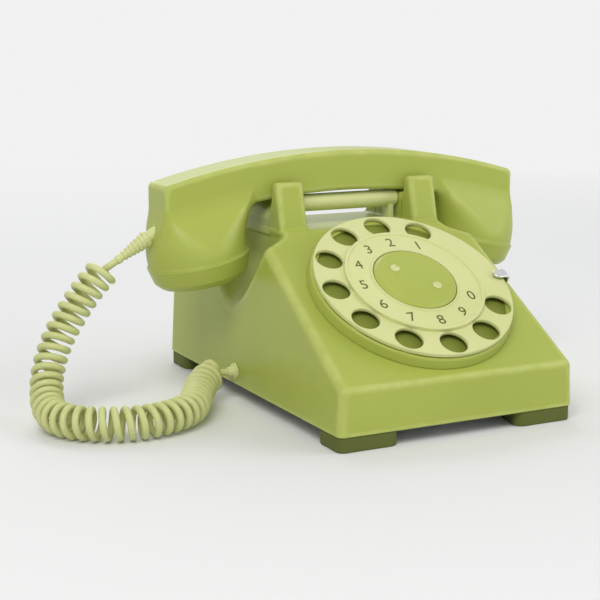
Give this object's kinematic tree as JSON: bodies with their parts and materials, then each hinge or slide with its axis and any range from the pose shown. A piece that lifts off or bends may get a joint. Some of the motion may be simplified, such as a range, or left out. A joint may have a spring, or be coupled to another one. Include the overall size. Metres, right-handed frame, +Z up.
{
  "type": "rotary desk telephone",
  "caption": "Desk telephone with a sloping dial panel, a finger-wheel dial, an arched handset lying across a cradle with prongs, a lift bar and a curly cord.",
  "frame": {"origin": "on the ground under the middle of the telephone's body", "axes": "+Z up, the dial panel faces -Y, the handset lies along X with its cord at the -X end"},
  "size_m": [0.3091, 0.222, 0.138],
  "materials": {
    "body_plastic": "moulded lime green, soft gloss",
    "ivory_plastic": "moulded ivory, soft gloss",
    "cord_cover": "ivory flexible covering, satin",
    "dial_face": "darker lime green, matt",
    "foot_rubber": "dark olive green, matt",
    "black_plastic": "matt",
    "circuit_case": "matt green case",
    "coil_varnish": "varnished copper winding",
    "steel": "zinc plated",
    "finger_stop_steel": "polished",
    "capsule_metal": "pressed, satin",
    "brass": "satin"
  },
  "bodies": {
    "base": {"feet": "foot_rubber", "foot_screws": "steel", "base_plate": "steel", "housing": "body_plastic", "shoulder_left": "body_plastic", "shoulder_right": "body_plastic", "cradle": "body_plastic", "housing_screws": "steel", "network_block": "circuit_case", "network_terminals": "brass", "ringer_frame": "steel", "ringer_coil": "coil_varnish", "gong_left": "brass", "gong_right": "brass", "gong_screws": "steel", "clapper_pin": "steel", "hook_bracket": "steel", "hook_pin": "steel", "hook_spring": "steel", "hook_contacts": "black_plastic", "dial_bracket": "steel", "dial_frame": "steel", "dial_surround": "body_plastic", "dial_screws": "steel", "dial_plate": "dial_face", "finger_stop": "finger_stop_steel", "main_spring": "steel", "pulse_contacts": "brass", "governor_cup": "steel", "line_inlet": "foot_rubber", "cord_gland": "ivory_plastic", "handset_cord": "cord_cover"},
    "clapper": {"clapper": "brass"},
    "hook_lever": {"hook_lever": "steel"},
    "hook_bar": {"hook_bar": "ivory_plastic"},
    "dial_wheel": {"finger_wheel": "ivory_plastic", "number_ring": "ivory_plastic", "centre_cap": "body_plastic", "cap_screws": "ivory_plastic", "main_shaft": "steel", "main_gear": "brass"},
    "dial_train": {"intermediate_shaft": "steel", "intermediate_gear": "brass", "pulse_cam": "black_plastic"},
    "governor": {"governor_shaft": "steel", "governor_weights": "brass"},
    "handset": {"handset_grip": "body_plastic", "handset_cord_boot": "ivory_plastic", "transmitter_cap": "body_plastic", "transmitter_capsule": "capsule_metal", "transmitter_contacts": "black_plastic", "receiver_cap": "body_plastic", "receiver_capsule": "capsule_metal", "receiver_spacer": "black_plastic"}
  },
  "joints": [
    {"name": "handset_lift", "type": "slide", "parent": "base", "child": "handset", "axis": [0, 0, 1], "range_m": [0, 0.08], "deforming": ["handset_cord"]},
    {"name": "hook_rise", "type": "slide", "parent": "base", "child": "hook_bar", "axis": [0, 0, 1], "range_m": [0, 0.005]},
    {"name": "hook_rock", "type": "hinge", "parent": "base", "child": "hook_lever", "pos_m": [0, 0.045, 0.07311], "axis": [-1, 0, 0], "range_deg": [0, 8]},
    {"name": "dial_turn", "type": "hinge", "parent": "base", "child": "dial_wheel", "pos_m": [0, -0.05831, 0.06506], "axis": [0, 0.5315, -0.8471], "range_deg": [0, 318], "stiffness_Nm_per_rad": 0.015, "springref_deg": -114.59},
    {"name": "train_turn", "type": "hinge", "parent": "base", "child": "dial_train", "pos_m": [-0.02631, -0.05579, 0.04303], "axis": [0, 0.5315, -0.8471], "range_deg": [-1272, 0]},
    {"name": "governor_turn", "type": "hinge", "parent": "base", "child": "governor", "pos_m": [-0.03171, -0.03598, 0.05546], "axis": [0, 0.5315, -0.8471], "range_deg": [0, 5088]},
    {"name": "clapper_swing", "type": "hinge", "parent": "base", "child": "clapper", "pos_m": [0, 0.04, 0.0226], "axis": [0, 0, 1], "range_deg": [-2.5, 2.5]}
  ],
  "couplings": [
    {"joint": "hook_rise", "follows": "handset_lift", "ratio": 0.0625},
    {"joint": "hook_rock", "follows": "handset_lift", "rad_per_m": 1.7453},
    {"joint": "train_turn", "follows": "dial_turn", "ratio": -4},
    {"joint": "governor_turn", "follows": "dial_turn", "ratio": 16}
  ]
}
